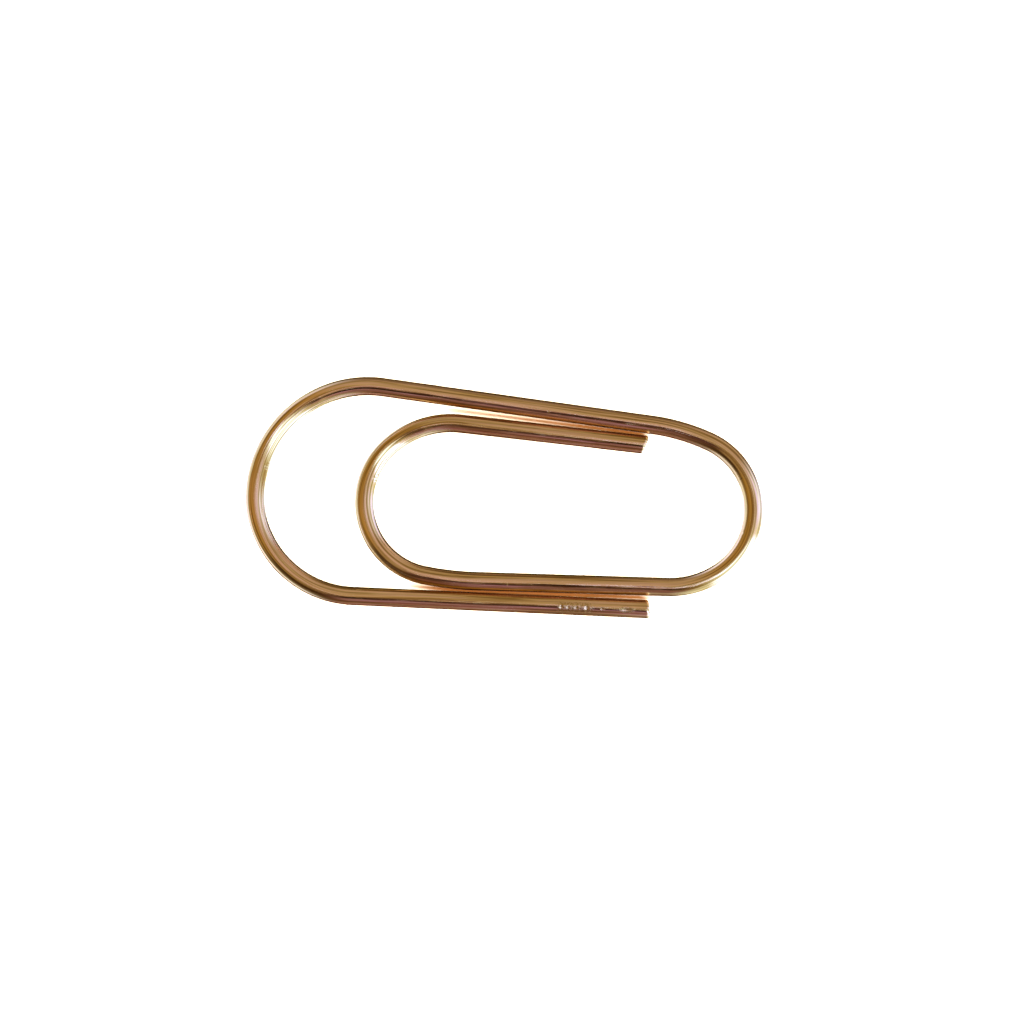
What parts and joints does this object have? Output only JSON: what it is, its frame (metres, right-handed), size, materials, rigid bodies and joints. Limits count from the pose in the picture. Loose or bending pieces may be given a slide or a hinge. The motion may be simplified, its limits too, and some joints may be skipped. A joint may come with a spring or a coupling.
{
  "type": "money clip",
  "caption": "Flat money clip like a large paperclip, bent from round polished gold wire, with an outer loop and an inner loop that spring apart to grip folded notes.",
  "frame": {"origin": "under the middle of the clip, on the surface it lies on", "axes": "+X along the clip towards its narrow end bow, +Y across it towards the top leg, +Z out of the face"},
  "size_m": [0.0556, 0.0246, 0.002],
  "materials": {
    "polished_gold": "polished"
  },
  "bodies": {
    "top_span": {"outer_shoulder": "polished_gold", "top_leg": "polished_gold", "end_shoulder": "polished_gold", "end_nose_upper": "polished_gold"},
    "outer_arm": {"outer_leg": "polished_gold", "outer_foot": "polished_gold", "outer_crown": "polished_gold"},
    "inner_loop": {"end_nose_lower": "polished_gold", "end_heel": "polished_gold", "inner_leg": "polished_gold", "inner_foot": "polished_gold", "inner_crown_lower": "polished_gold"},
    "tongue": {"inner_crown_upper": "polished_gold", "inner_shoulder": "polished_gold", "tongue_leg": "polished_gold"}
  },
  "joints": [
    {"name": "outer_bow_flex", "type": "hinge", "parent": "top_span", "child": "outer_arm", "pos_m": [-0.02679, -0.00079, 0.001], "axis": [0, -1, 0], "range_deg": [0, 6], "stiffness_Nm_per_rad": 0.8},
    {"name": "end_bow_flex", "type": "hinge", "parent": "top_span", "child": "inner_loop", "pos_m": [0.02679, -0.00049, 0.001], "axis": [0, 1, 0], "range_deg": [0, 8], "stiffness_Nm_per_rad": 1},
    {"name": "inner_bow_flex", "type": "hinge", "parent": "inner_loop", "child": "tongue", "pos_m": [-0.01505, -0.00078, 0.001], "axis": [0, -1, 0], "range_deg": [0, 5], "stiffness_Nm_per_rad": 1}
  ]
}
